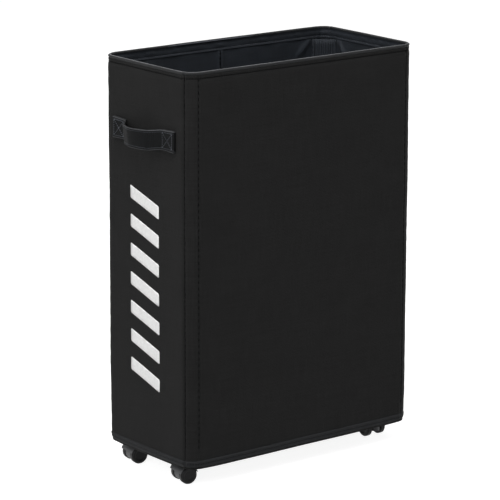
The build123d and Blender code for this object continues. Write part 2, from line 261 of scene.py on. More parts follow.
def woven(name, dark, light, thread, rough, specular, sheen, raised, wear_and_highlight=None):
    """Plain-woven polyester: warp and weft pass over and under each other, yarns swell and thin along
    their length, and the dye takes a little unevenly. The eye gets a dull black with a soft nap. The last
    argument gives the place, half width and colour of a pale line painted along the cloth: a painted
    highlight, which on the rim is also wear."""
    material, tree = new_tree(name)
    cloth = add(tree, "UVMap", {}, uv_map="cloth").outputs["UV"]
    bands = wave_unit / (2 * thread)
    warp, weft = [add(tree, "TexWave", {"Vector": cloth, "Scale": bands, "Distortion": 0.6, "Detail": 1.0},
                      bands_direction=way) for way in "XY"]
    over = add(tree, "TexChecker", {"Vector": cloth, "Scale": 1 / thread})
    weave = add(tree, "Mix", {0: over.outputs["Fac"], 2: warp.outputs["Fac"], 3: weft.outputs["Fac"]})
    yarns = []
    for wide, tall in ((slub_width, slub_length["up"]), (slub_length["across"], slub_width)):
        drawn = add(tree, "Mapping", {"Vector": cloth, "Scale": (1 / wide, 1 / tall, 1.0)})
        yarns.append(add(tree, "TexNoise", {"Vector": drawn.outputs[0], "Scale": 1.0, "Detail": 2.0}))
    slubs = add(tree, "Math", {0: yarns[0].outputs["Fac"], 1: yarns[1].outputs["Fac"]}, operation="ADD")
    patches = add(tree, "TexNoise", {"Vector": cloth, "Scale": 1 / dye_patch, "Detail": 3.0})
    dye = 0.0
    for source, share in ((slubs.outputs[0], 0.5), (patches.outputs["Fac"], 0.6), (weave.outputs[0], 0.25)):
        dye = add(tree, "Math", {0: source, 1: share, 2: dye}, operation="MULTIPLY_ADD").outputs[0]
    tone = add(tree, "MapRange", {"Value": dye, "From Min": 0.55, "From Max": 1.25})
    colour = add(tree, "Mix", {0: tone.outputs[0], 6: linear(dark), 7: linear(light)}, data_type="RGBA")
    if wear_and_highlight:
        line, half_width, pale = wear_and_highlight
        place = add(tree, "SeparateXYZ", {"Vector": cloth})
        off = add(tree, "Math", {0: place.outputs["Y"], 1: line}, operation="SUBTRACT")
        off = add(tree, "Math", {0: off.outputs[0]}, operation="ABSOLUTE")
        # The pale line is painted: on the rim it is wear and a painted highlight, on the strap a painted
        # highlight.
        wear_and_highlight_mask = add(tree, "MapRange",
                  {"Value": off.outputs[0], "From Max": half_width, "To Min": 1.0, "To Max": 0.0})
        wear_and_highlight_mask = add(tree, "Math", {0: wear_and_highlight_mask.outputs[0], 1: tone.outputs[0]}, operation="MULTIPLY")
        colour = add(tree, "Mix", {0: wear_and_highlight_mask.outputs[0], 6: colour.outputs[2], 7: linear(pale)},
                     data_type="RGBA")
    gloss = add(tree, "MapRange",
                {"Value": patches.outputs["Fac"], "To Min": rough - 0.08, "To Max": rough + 0.08})
    height = add(tree, "Math", {0: slubs.outputs[0], 1: 0.5, 2: weave.outputs[0]}, operation="MULTIPLY_ADD")
    relief = add(tree, "Bump", {"Strength": 0.7, "Distance": raised, "Height": height.outputs[0]})
    shader = add(tree, "BsdfPrincipled", {
        "Base Color": colour.outputs[2], "Roughness": gloss.outputs[0], "Normal": relief.outputs[0],
        "Specular IOR Level": specular, "Sheen Weight": sheen, "Sheen Roughness": 0.45,
    })
    add(tree, "OutputMaterial", {"Surface": shader.outputs[0]})
    return material


# Real Oxford cloth has a yarn about every 0.5 mm, drawn at twice that so that it shows.
oxford_cloth = woven("oxford_polyester", "181818", "242424", 0.001, 0.82, 0.08, 0.03, 0.00025)


scene = bpy.context.scene


def piece(name, bm, material):
    """A finished mesh that rides on the bag."""
    mesh = bpy.data.meshes.new(name)
    bm.to_mesh(mesh)
    bm.free()
    mesh.shade_smooth()
    mesh.materials.append(material)
    made = bpy.data.objects.new(name, mesh)
    scene.collection.objects.link(made)
    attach(made, "bag")
    return made


def thicken(made, thickness):
    """Gives a sheet its thickness, inwards from the face that shows."""
    wall = made.modifiers.new("thickness", "SOLIDIFY")
    wall.thickness = thickness
    wall.offset = -1.0


def map_cloth(bm, flat):
    """Gives a sheet its UV map in metres, by where each vertex would lie on the flat cloth."""
    cloth = bm.loops.layers.uv.new("cloth")
    for face in bm.faces:
        for loop in face.loops:
            loop[cloth].uv = flat(loop.vert.co)


def face_out(bm, way):
    """Turns the faces of an open sheet so that its first face points the way given for it."""
    bm.normal_update()
    bm.faces.ensure_lookup_table()
    face = bm.faces[0]
    if face.normal.dot(way(face.calc_center_median())) < 0:
        bmesh.ops.reverse_faces(bm, faces=bm.faces[:])


# The stitching under the rim draws the wall in, so that the roll stands proud: how far in, at each
# depth below the top.
drawn_in = [(0.0, 0.0165), (0.0002, 0.0125), (0.0008, 0.0105), (0.0011, 0.0092), (0.0008, 0.0079),
            (0.0004, 0.0064), (0.0005, 0.0052), (0.0012, 0.0043)]
groove_pitch = 0.0006
wall_row = 0.003
walls = loft([(0.0, foot)] + [(inset, rim_top - depth) for inset, depth in drawn_in])
groove_columns = [groove_pitch * step for step in range(-4, 5)]
slice_at(walls, [side * (seam_y + off) for side in (-1, 1) for off in groove_columns], y_way)
slice_at(walls, [side * (sleeve_seam_x + off) for side in (-1, 1) for off in groove_columns], x_way)
divide_rows(walls, wall_row)
face_out(walls, lambda place: outward(place.x, place.y))
lay_on_wall(walls)
long_width, end_width = 2 * seam_reach, 2 * (quarter_round - seam_reach)
panels = {
    "front": (long_width, lambda place: place.y < -seam_y),
    "back": (long_width, lambda place: place.y > seam_y),
    "left": (end_width, lambda place: abs(place.y) < seam_y and place.x < 0),
    "right": (end_width, lambda place: abs(place.y) < seam_y and place.x > 0),
}
for side, (width, belongs) in panels.items():
    panel = walls.copy()
    others = [f for f in panel.faces if not belongs(f.calc_center_median())]
    bmesh.ops.delete(panel, geom=others, context="FACES")
    panel_piece = piece(f"{side}_wall_cloth", panel, oxford_cloth)
    thicken(panel_piece, panel_cloth)
    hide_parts(f"{side}_panel")
walls.free()

# Lining: one tube of thin black polyester inside the walls, joined by a seam in the middle of the
# back and sewn into the rim, the corner sleeves and the foot. It is cut a little full, so it lies in
# soft folds that run down and away from the sleeves.
lining_low, lining_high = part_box("lining")
lining_cloth = 0.0008
layer_gap = 0.00005
lining_face = panel_cloth + layer_gap + lining_cloth
lining_seam_x = 0.004
sleeve_edge = half_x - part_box("corner_sleeve_back_right")[0].x
facing_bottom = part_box("top_hem")[0].z
# Each fold starts at a sleeve, so far below the facing, at a slope in degrees, with a length and height.
lining_folds = [(-0.003, 47, 0.045, 0.0034), (0.024, 58, 0.085, 0.0024), (0.070, 48, 0.110, 0.0020),
                (0.135, 57, 0.120, 0.0016), (0.235, 42, 0.130, 0.0014), (0.340, 52, 0.120, 0.0014)]
fold_shift = 0.012
fold_width, fold_spread = 0.003, 0.03
# On the end walls two creases fall from each sleeve in a curve: start from the sleeve, lean and height.
sleeve_creases = [(0.0015, 0.75, 0.0022), (0.0100, 0.60, 0.0016)]
crease_turn = 0.11
crease_width = 0.0014
crease_pitch = 0.0010
crease_middle, crease_half = 0.014, 0.016
free_from = {"sleeve": 0.003, "facing": 0.004}
billow_height, crumple_height = 0.0012, 0.0009
seam_hold = 0.003
ridge_height, ridge_off, ridge_width = 0.0026, 0.0026, 0.0012


def fullness(x, y, z):
    """How far the loose lining stands in from the wall."""
    along = reach(x, y)
    long_side = along < straight_x
    from_sleeve = half_x - sleeve_edge - abs(x) if long_side else half_y - sleeve_edge - abs(y)
    if from_sleeve <= 0:
        return 0.0
    below = facing_bottom - z
    free = min(from_sleeve / free_from["sleeve"], 1.0)
    free *= min(max(below / free_from["facing"] + 0.5, 0.0), 1.0)
    stands = billow_height * max(0.0, ripple(x, y, z, 30, 9, 3) + 0.15)
    stands += crumple_height * max(0.0, ripple(x, y, z, 48, 42))
    for start, slope, length, height in lining_folds:
        start += fold_shift * noise.noise(Vector((copysign(5, x), copysign(9, y), start * 50)))
        fallen = below - start
        down = from_sleeve * cos(radians(slope)) + fallen * sin(radians(slope))
        aside = fallen * cos(radians(slope)) - from_sleeve * sin(radians(slope))
        if 0 < down < length:
            stands += height * sin(pi * down / length) * bump_at(aside, fold_width + fold_spread * down)
    if not long_side:
        for start, lean, height in sleeve_creases:
            curve = start + lean * below * (1 - below / crease_turn)
            fades = bump_at(below - crease_middle, crease_half)
            stands += height * bump_at(from_sleeve - curve, crease_width) * fades
    if y > 0:
        off_seam = abs(x - lining_seam_x)
        ridge = ridge_height * bump_at(off_seam - ridge_off, ridge_width)
        stands = stands * (1 - bump_at(off_seam, seam_hold)) + ridge
    return max(stands * free, 0.0)


# Thin lining polyester: finer yarn than the outer cloth, with a slight shine on its folds.
lining_polyester = woven("lining_polyester", "191c20", "272b31", 0.0008, 0.62, 0.12, 0.04, 0.00012)
# The folds that show are near the top, so the rows are closest there.
loose_top = lining_high.z - 0.125
low_rows, loose_rows = 40, 50
lining_levels = []
for start, stop, count in ((lining_low.z, loose_top, low_rows), (loose_top, lining_high.z, loose_rows)):
    lining_levels += [start + (stop - start) * step / count for step in range(count)]
lining_levels.append(lining_high.z)
lining = loft([(lining_face, level) for level in lining_levels], columns=0.0036)
crease_columns = [half_y - sleeve_edge - crease_pitch * step for step in range(24)]
ridge_columns = [lining_seam_x + off for off in (-0.0040, -0.0026, -0.0014, 0.0, 0.0014, 0.0026, 0.0040)]
slice_at(lining, [side * y for side in (-1, 1) for y in crease_columns], y_way)
slice_at(lining, ridge_columns, x_way)
face_out(lining, lambda place: -outward(place.x, place.y))
for vert in lining.verts:
    x, y, z = vert.co
    vert.co += outward(x, y) * (slack(x, y, z) - fullness(x, y, z))
lining_piece = piece("lining_cloth", lining, lining_polyester)
thicken(lining_piece, lining_cloth)
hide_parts("lining")

# Bottom cloth: a rounded rectangle of the outer cloth sewn across the foot of the walls. The caster
# stems are screwed up through it, and it sags slightly between them.
bottom_low, bottom_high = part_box("bottom_panel")
bottom_sag = 0.0012
bottom_pitch = 0.01
bottom = bmesh.new()
bottom_plan = Matrix.Diagonal((bottom_high.x, bottom_high.y, 1, 1))
bottom_plan = Matrix.Translation((0, 0, bottom_low.z)) @ bottom_plan
bmesh.ops.create_grid(bottom, x_segments=1, y_segments=1, size=1.0, matrix=bottom_plan)
round_corners(bottom, bottom.verts[:], corner_radius - panel_cloth, corner_steps // 2)
for way, extent in ((x_way, bottom_high.x), (y_way, bottom_high.y)):
    count = round(2 * extent / bottom_pitch)
    slice_at(bottom, [2 * extent * step / count - extent for step in range(1, count)], way)
map_cloth(bottom, lambda place: place.xy)
for vert in bottom.verts:
    x, y, z = vert.co
    middle = (1 - (x / half_x) ** 2) * (1 - (y / half_y) ** 2)
    vert.co.z -= bottom_sag * middle * (0.6 + 0.8 * ripple(x, y, 0, 18, 0, 2))
face_out(bottom, lambda place: -z_way)
bottom_piece = piece("bottom_cloth", bottom, oxford_cloth)
thicken(bottom_piece, panel_cloth)
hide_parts("bottom_panel")

# Binding: a woven polyester tape folded round the lower edge and sewn through all the layers, 12 mm
# up the wall outside and 10 mm in under the bag. Its stitching sinks in and leaves a soft ridge on
# either side.
tape_cloth = 0.0007
tape_stands = 0.0011
tape_height = 0.0118
tape_return = 0.010
tape_seat = 0.0004
tape_stitch = foot + 0.0070
tape_rows = [(tape_return, foot - tape_stands), (0.004, foot - tape_stands), (0.0016, foot - tape_stands),
             (0.0007, foot - 0.0007)]
# Each ridge: where it starts and ends, how far its start is tucked in, and how far it puffs out.
tape_ridges = [(foot, tape_stitch, 0.0016, 0.0008), (tape_stitch, foot + tape_height, 0.0, 0.0010)]
ridge_steps = 8
tape_drawn_flat = 0.0006
for low, high, tucked, puff in tape_ridges:
    for share in [step / ridge_steps for step in range(1, ridge_steps + 1)]:
        stands = tape_seat + puff * max(sin(pi * share), 0.0) ** 0.7 - tucked * (1 - share)
        tape_rows.append((-stands, low + (high - low) * share))
tape_rows.append((tape_seat, foot + tape_height - tape_seat))
# Binding tape has a fine cross rib of about 0.7 mm, drawn a little coarser.
binding_tape = woven("polyester_binding", "1c1d1e", "2b2c2e", 0.0009, 0.72, 0.10, 0.05, 0.0002)
tape = loft(tape_rows)
face_out(tape, lambda place: -z_way)
for vert in tape.verts:
    x, y, z = vert.co
    if z > tape_stitch:  # round the corners the tape is drawn flatter
        vert.co -= outward(x, y) * tape_drawn_flat * bump_at(reach(x, y) - corner_middle, corner_spread)
lay_on_wall(tape)
tape_piece = piece("bottom_binding_tape", tape, binding_tape)
thicken(tape_piece, tape_cloth)
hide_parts("bottom_binding")


def outline_point(distance):
    """The point of the bag's plan that far round it from the middle of the back, by the left end."""
    quarter, along = divmod(distance, quarter_round)
    if quarter % 2:
        along = quarter_round - along
    turned = min(max(along - straight_x, 0.0), corner_arc) / corner_radius
    x = min(along, straight_x) + corner_radius * sin(turned)
    y = straight_y + corner_radius * cos(turned) - max(along - straight_x - corner_arc, 0.0)
    return Vector((-x if quarter < 2 else x, y if quarter in (0, 3) else -y, 0.0))


def stitch(bm, place, along, out, length=0.0027, width=0.00075):
    """One stitch of thread, lying along its seam and half sunk into the cloth."""
    along = along.normalized()
    aside = out.cross(along).normalized()
    turn = Matrix((along, aside, aside.cross(along))).transposed().to_4x4()
    size = Matrix.Diagonal((length / 2, width / 2, -width / 2, 1.0))
    lie = Matrix.Translation(place) @ turn @ size
    bmesh.ops.create_icosphere(bm, subdivisions=1, radius=1.0, matrix=lie)


def stitch_round(bm, z, inset, pitch=0.004, length=0.0027, width=0.00075):
    """A row of stitches right round the bag at one height, on cloth that far in from the wall."""
    count = round(4 * quarter_round / pitch)
    for number in range(count):
        point = outline_point(4 * quarter_round * (number + 0.5) / count)
        out = outward(point.x, point.y)
        place = point + out * (slack(point.x, point.y, z) - inset)
        place.z = z
        facing = out if inset < panel_cloth else -out
        stitch(bm, place, Vector((-out.y, out.x, 0)), facing, length, width)


ply_pitch = 0.0005


def thread_finish(name, dark, light, specular):
    """Polyester sewing thread: two twisted plies, so each stitch has slanting ridges and a fine gloss."""
    material, tree = new_tree(name)
    place = add(tree, "TexCoord", {}).outputs["Object"]
    slant = add(tree, "Mapping", {"Vector": place, "Rotation": (0.6, 0.5, 0.7)})
    plies = add(tree, "TexWave", {"Vector": slant.outputs["Vector"], "Scale": wave_unit / ply_pitch})
    colour = add(tree, "Mix", {0: plies.outputs["Fac"], 6: linear(dark), 7: linear(light)},
                 data_type="RGBA")
    relief = add(tree, "Bump", {"Strength": 0.5, "Distance": 0.0001, "Height": plies.outputs["Fac"]})
    shader = add(tree, "BsdfPrincipled", {
        "Base Color": colour.outputs[2], "Normal": relief.outputs[0], "Roughness": 0.5,
        "Specular IOR Level": specular,
    })
    add(tree, "OutputMaterial", {"Surface": shader.outputs[0]})
    return material


# Near-black thread, darker than the cloth. Where it is sewn wide, under the rim, along the sleeves and in
# the lining seam, it also paints shade.
black_thread = thread_finish("black_polyester_thread", "060607", "0f0f10", 0.02)
binding_stitches = bmesh.new()
stitch_round(binding_stitches, tape_stitch, -tape_seat, length=0.0032, width=0.0011)
piece("binding_stitches", binding_stitches, black_thread)

# Wall seams: the panels are joined face to face from the inside, and a line of long stitches lies in
# each groove. A second line on the long walls sews the pole sleeves on behind.
seam_top = rim_top - 0.0105
seam_foot = foot + tape_height
stitch_share = 0.75  # of a dash: there the groove is shallow
seam_stitches = bmesh.new()
for end in (-1, 1):
    for back in (-1, 1):
        for line in (seam_reach, sleeve_seam):
            turned = (line - straight_x) / corner_radius
            x = end * (straight_x + corner_radius * sin(turned))
            y = back * (straight_y + corner_radius * cos(turned))
            out = outward(x, y)
            for number in range(1, round((seam_top - seam_foot) / seam_dash)):
                z = (round(seam_foot / seam_dash) + number + stitch_share) * seam_dash
                place = Vector((x, y, z)) + out * slack(x, y, z)
                stitch(seam_stitches, place, z_way, out, length=0.0062, width=0.0013)
piece("wall_seam_stitches", seam_stitches, black_thread)

# The lining's own seam down the middle of the back is sewn with the same thread, in wide stitches that
# nearly touch, which also paint the shade in the seam's valley.
lining_stitches = bmesh.new()
lining_dash = 0.0075
for number in range(2, round((facing_bottom - lining_low.z) / lining_dash)):
    z = facing_bottom - lining_dash * (number - 1.4)
    place = Vector((lining_seam_x, half_y - lining_face + slack(lining_seam_x, half_y, z), z))
    stitch(lining_stitches, place, z_way, -y_way, length=0.0071, width=0.0030)
piece("lining_seam_stitches", lining_stitches, black_thread)

# Rim: the outer cloth rolled over the spring wire, sewn through just under the wire, and turned down
# inside the mouth as a facing of lining cloth. The roll is round and tight, and its crest has a pale
# line painted on it, partly wear and partly a painted highlight from the light above. The facing
# puckers, most of all at the corners, and ends in a small turned edge.
roll_radius = 0.00215
roll_out = 0.0001
roll_level = rim_top - roll_radius
hem_cloth = 0.0007
facing_face = 0.0029
facing_stitch = facing_bottom + 0.0027
pleat_off, pleat_width, pleat_height = 0.014, 0.0022, 0.0009
pucker_height, corner_pucker, fine_pucker = 0.0015, 0.0002, 0.0007
corner_gather = 0.0010
pucker_limit = 0.0016


def roll_point(angle):
    """A point on the rolled rim, at an angle in degrees up from the horizontal on its outer side."""
    across = cos(radians(angle))
    bulge = roll_radius + (roll_out if across > 0 else 0.0)
    return (roll_radius - bulge * across, roll_level + roll_radius * sin(radians(angle)))


rim_rows = [(0.0024, rim_top - 0.0060), (0.0016, rim_top - 0.0053), (0.0011, rim_top - 0.0047)]
rim_rows += [roll_point(angle) for angle in range(-50, 91, 14)]
crest_line = rows_length(rim_rows) - 0.0005
rim_rows += [roll_point(angle) for angle in range(104, 211, 14)]
facing_start = rows_length(rim_rows)
rim_rows += [(0.0034, rim_top - 0.0048)]
rim_rows += [(facing_face, rim_top - depth) for depth in (0.0058, 0.0078, 0.0098, 0.0118)]
rim_rows += [(facing_face, facing_stitch + off) for off in (0.001, 0.0, -0.0008)]
rim_rows += [(facing_face + 0.0006, facing_bottom + 0.0012), (facing_face + 0.0008, facing_bottom + 0.0006),
             (facing_face + 0.0003, facing_bottom), (facing_face - 0.0006, facing_bottom + 0.0002)]


def pucker(x, y, z):
    """How far the facing stands in from its seat between the rim and its stitching."""
    between = max(0.0, min((z - facing_stitch) / 0.004, (rim_top - 0.005 - z) / 0.003, 1.0))
    corner = bump_at(reach(x, y) - corner_middle, 0.03)
    folds = max(0.0, ripple(x, y, z, 75, 30, 11) + 0.25) * (pucker_height + corner_pucker * corner)
    folds += fine_pucker * max(ripple(x, y, z, 170, 60, 23), 0.0)
    folds += pleat_height * bump_at(reach(x, y) - corner_middle - pleat_off, pleat_width)
    return between * min(folds + corner_gather * corner, pucker_limit)


# The pale line along the crest is painted: partly wear, partly a painted highlight where the roll catches
# the light from above.
rim_wear_and_highlight = woven("rim_oxford_polyester", "17181a", "232425", 0.001, 0.58, 0.16, 0.03, 0.00025,
                 wear_and_highlight=(crest_line, 0.0013, "77787b"))
rim = loft(rim_rows, columns=0.003)
rim_up = rim.verts.layers.float["up"]
face_out(rim, lambda place: outward(place.x, place.y))
for face in rim.faces:
    face.material_index = int(min(vert[rim_up] for vert in face.verts) >= facing_start)
for vert in rim.verts:
    x, y, z = vert.co
    stands = 0.0
    if vert[rim_up] >= facing_start:
        stands = pucker(x, y, z) - 0.0003 * bump_at(z - facing_stitch, 0.0009)
    vert.co += outward(x, y) * (slack(x, y, z) - stands)
rim_piece = piece("rim_hem_cloth", rim, rim_wear_and_highlight)
rim_piece.data.materials.append(lining_polyester)
thicken(rim_piece, hem_cloth)
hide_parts("top_hem")

# The row of stitches under the roll is real stitching, sewn wide in near-black thread so that it also
# paints the shade in the groove under the roll.
rim_stitches = bmesh.new()
stitch_round(rim_stitches, rim_top - 0.0092, 0.0010, length=0.0037, width=0.0015)
piece("rim_stitches", rim_stitches, black_thread)
grey_thread = thread_finish("dark_grey_polyester_thread", "3d4046", "5d6067", 0.2)
facing_stitches = bmesh.new()
stitch_round(facing_stitches, facing_stitch, facing_face - 0.0002, pitch=0.0033)
piece("facing_stitches", facing_stitches, grey_thread)


def metal_finish(name, dark, light, metallic, rough, grain, raised):
    """Metal with a finish of its own: grain is the size of its coating's or plating's texture."""
    material, tree = new_tree(name)
    place = add(tree, "TexCoord", {}).outputs["Object"]
    spots = add(tree, "TexNoise", {"Vector": place, "Scale": 1 / grain, "Detail": 3.0})
    clouds = add(tree, "TexNoise", {"Vector": place, "Scale": 1 / (grain * 14), "Detail": 4.0})
    colour = add(tree, "Mix", {0: clouds.outputs["Fac"], 6: linear(dark), 7: linear(light)},
                 data_type="RGBA")
    gloss = add(tree, "MapRange",
                {"Value": clouds.outputs["Fac"], "To Min": rough - 0.1, "To Max": rough + 0.1})
    relief = add(tree, "Bump", {"Strength": 0.5, "Distance": raised, "Height": spots.outputs["Fac"]})
    shader = add(tree, "BsdfPrincipled", {
        "Base Color": colour.outputs[2], "Roughness": gloss.outputs[0], "Normal": relief.outputs[0],
        "Metallic": metallic,
    })
    add(tree, "OutputMaterial", {"Surface": shader.outputs[0]})
    return material


def coat(names, material):
    """Gives carried-over solids their finish."""
    for name in names:
        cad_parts[name].data.materials.clear()
        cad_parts[name].data.materials.append(material)


# Blued spring wire: bright drawn steel that a heat treatment leaves dark and slightly mottled.
coat(["rim_wire"], metal_finish("blued_spring_steel", "3b3d42", "5a5c61", 1.0, 0.35, 0.0008, 0.00003))

# Corner poles and sleeves: steel tubes in black powder coat with moulded plugs in both ends, and a
# strip of gathered lining cloth across each corner that holds one upright against the walls.
corners = {"front_left": (-1, -1), "front_right": (1, -1), "back_right": (1, 1), "back_left": (-1, 1)}
# Powder coat flows to a fine orange peel of about 0.6 mm.
powder_coat = metal_finish("black_powder_coat", "17181a", "202123", 0.0, 0.42, 0.0006, 0.00004)
sleeve_polyester = woven("gathered_sleeve_polyester", "1b1e22", "2c3036", 0.0008, 0.58, 0.14, 0.05, 0.00012)
sleeve_cloth = 0.001
sleeve_face = 0.0026
sleeve_bend = 0.024
sleeve_peak = 0.0161
rib_pitch = 0.0033
rib_height = 0.0020
ribbed_half = 0.0175
rib_wander = 0.0010
rib_fade = 0.002
sleeve_column = 0.0005
sleeve_hem = 0.0012
sleeve_stitches = bmesh.new()


flow_mark = 0.012


def moulded(name, dark, light, rough, specular, grain, raised):
    """Injection-moulded plastic: an even colour, a fine spark-eroded grain and slight flow marks."""
    material, tree = new_tree(name)
    place = add(tree, "TexCoord", {}).outputs["Object"]
    pits = add(tree, "TexVoronoi", {"Vector": place, "Scale": 1 / grain})
    flow = add(tree, "TexNoise",
               {"Vector": place, "Scale": 1 / flow_mark, "Detail": 3.0, "Distortion": 1.2})
    colour = add(tree, "Mix", {0: flow.outputs["Fac"], 6: linear(dark), 7: linear(light)},
                 data_type="RGBA")
    gloss = add(tree, "MapRange",
                {"Value": flow.outputs["Fac"], "To Min": rough - 0.07, "To Max": rough + 0.07})
    relief = add(tree, "Bump", {"Strength": 0.35, "Distance": raised, "Height": pits.outputs["Distance"]})
    shader = add(tree, "BsdfPrincipled", {
        "Base Color": colour.outputs[2], "Roughness": gloss.outputs[0], "Normal": relief.outputs[0],
        "Specular IOR Level": specular, "IOR": 1.5,
    })
    add(tree, "OutputMaterial", {"Surface": shader.outputs[0]})
    return material


def lay_path(bm, points):
    """Joins points by a line of edges, and returns its vertices."""
    posts = [bm.verts.new(point) for point in points]
    for one, two in zip(posts, posts[1:]):
        bm.edges.new((one, two))
    return posts


black_nylon = moulded("black_nylon", "161617", "1e1e20", 0.5, 0.4, 0.0005, 0.00003)
for corner, (end, back) in corners.items():
    coat([f"corner_pole_{corner}"], powder_coat)
    coat([f"pole_plugs_{corner}"], black_nylon)
    low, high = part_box(f"corner_sleeve_{corner}")
    path = [(sleeve_edge, sleeve_face), (sleeve_bend, sleeve_face), (sleeve_peak, sleeve_peak),
            (sleeve_face, sleeve_bend), (sleeve_face, sleeve_edge)]
    sleeve = bmesh.new()
    posts = lay_path(sleeve, [(end * (half_x - a), back * (half_y - b), low.z) for a, b in path])
    for post, tangent in ((posts[1], 0.0012), (posts[2], 0.0013), (posts[3], 0.0012)):
        round_corners(sleeve, [post], tangent, 4)
    for edge in [e for e in sleeve.edges if e.calc_length() > 0.003]:
        bmesh.ops.subdivide_edges(sleeve, edges=[edge], cuts=round(edge.calc_length() / sleeve_column))
    for vert in extrude_row(sleeve, sleeve.edges[:])[0]:
        vert.co.z = high.z
    divide_rows(sleeve, 0.008)
    inner = Vector((-end, -back, 0)).normalized()
    across = Vector((inner.y, -inner.x, 0))
    start = Vector((end * (half_x - sleeve_peak), back * (half_y - sleeve_peak), 0))
    map_cloth(sleeve, lambda place: ((place - start).dot(across), place.z))
    for vert in sleeve.verts:
        aside = (vert.co - start).dot(across)
        wander = rib_wander * noise.noise(Vector((aside * 60, vert.co.z * 6, end + 3 * back)))
        gathered = 0.75 + 0.5 * noise.noise(Vector((aside * 220, vert.co.z * 5, 2 * end + back)))
        fade = min(max((ribbed_half - abs(aside)) / rib_fade, 0.0), 1.0)
        rib = 0.5 - 0.5 * cos(2 * pi * (aside + wander) / rib_pitch)
        vert.co += inner * rib * gathered * fade * rib_height
    # The faces come in no fixed order, so all of them decide which side is the inner.
    sleeve.normal_update()
    if sum(face.normal.dot(inner) for face in sleeve.faces) < 0:
        bmesh.ops.reverse_faces(sleeve, faces=sleeve.faces[:])
    sleeve_piece = piece(f"corner_sleeve_cloth_{corner}", sleeve, sleeve_polyester)
    thicken(sleeve_piece, sleeve_cloth)
    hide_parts(f"corner_sleeve_{corner}")
    # The flanges are stitched down in near-black thread, which also paints the shadow in the gap along each
    # sleeve's edge.
    for a, b, way in ((sleeve_edge - sleeve_hem, sleeve_face, Vector((0, -back, 0))),
                      (sleeve_face, sleeve_edge - sleeve_hem, Vector((-end, 0, 0)))):
        for number in range(1, round((high.z - low.z) / lining_dash)):
            place = Vector((end * (half_x - a), back * (half_y - b), high.z - lining_dash * (number - 0.4)))
            stitch(sleeve_stitches, place, z_way, way, length=0.0069, width=0.0016)
piece("sleeve_stitches", sleeve_stitches, black_thread)

# Base: a stiff moulded board lies in the bottom of the bag, and four plated tee nuts pressed into it
# take the caster stems.
coat(["base_board"], moulded("grey_polypropylene_board", "26272a", "2f3033", 0.55, 0.4, 0.0012, 0.00006))
# Zinc plating: a bright, slightly cloudy silver.
coat(["base_nuts"], metal_finish("zinc_plate", "a9adb2", "c6c9cc", 1.0, 0.32, 0.0015, 0.00003))

# Strap handles: a band of the outer cloth folded to 28 mm wide, with its edges turned in, plump and
# sewn down. Each end is doubled under and held by a box of stitching with a cross in it, and the
# middle stands off the wall in a loop for the hand.
strap_half = (strap_high.z - strap_low.z) / 2
strap_cloth = 0.0026
under_lift = 0.0012
tab_lift = 0.0037
loop_crown = (0.0292, -0.010)
loop_crease = (0.0158, 0.0270)
loop_feet = (-0.043, 0.041)
loop_droop, loop_sag, loop_tilt = 0.0020, 0.0012, 0.0014
loose_rise = 0.012
tab_end = strap_high.y
tab_flare = 0.0009
strap_wave = 0.0005
strap_column = 0.0028
strap_seam = 0.0032
box_margin = 0.003
box_pitch = 0.0033
# The section's share of the full thickness at distances up from the strap's edge to its middle.
strap_rows = [(0.0, 0.35), (0.0004, 0.75), (0.0011, 1.0), (0.0019, 1.0), (0.0026, 0.85), (strap_seam, 0.55),
              (0.0038, 0.6), (0.0050, 0.75), (0.0090, 0.8), (strap_half, 0.8)]
strap_rows += [(2 * strap_half - across, share) for across, share in strap_rows[-2::-1]]
strap_path = [(under_lift, loop_feet[0] - 0.002), (under_lift, -tab_end), (tab_lift, -tab_end),
              (tab_lift, loop_feet[0]), loop_crown, loop_crease, (tab_lift, loop_feet[1]),
              (tab_lift, tab_end), (under_lift, tab_end), (under_lift, loop_feet[1] + 0.002)]
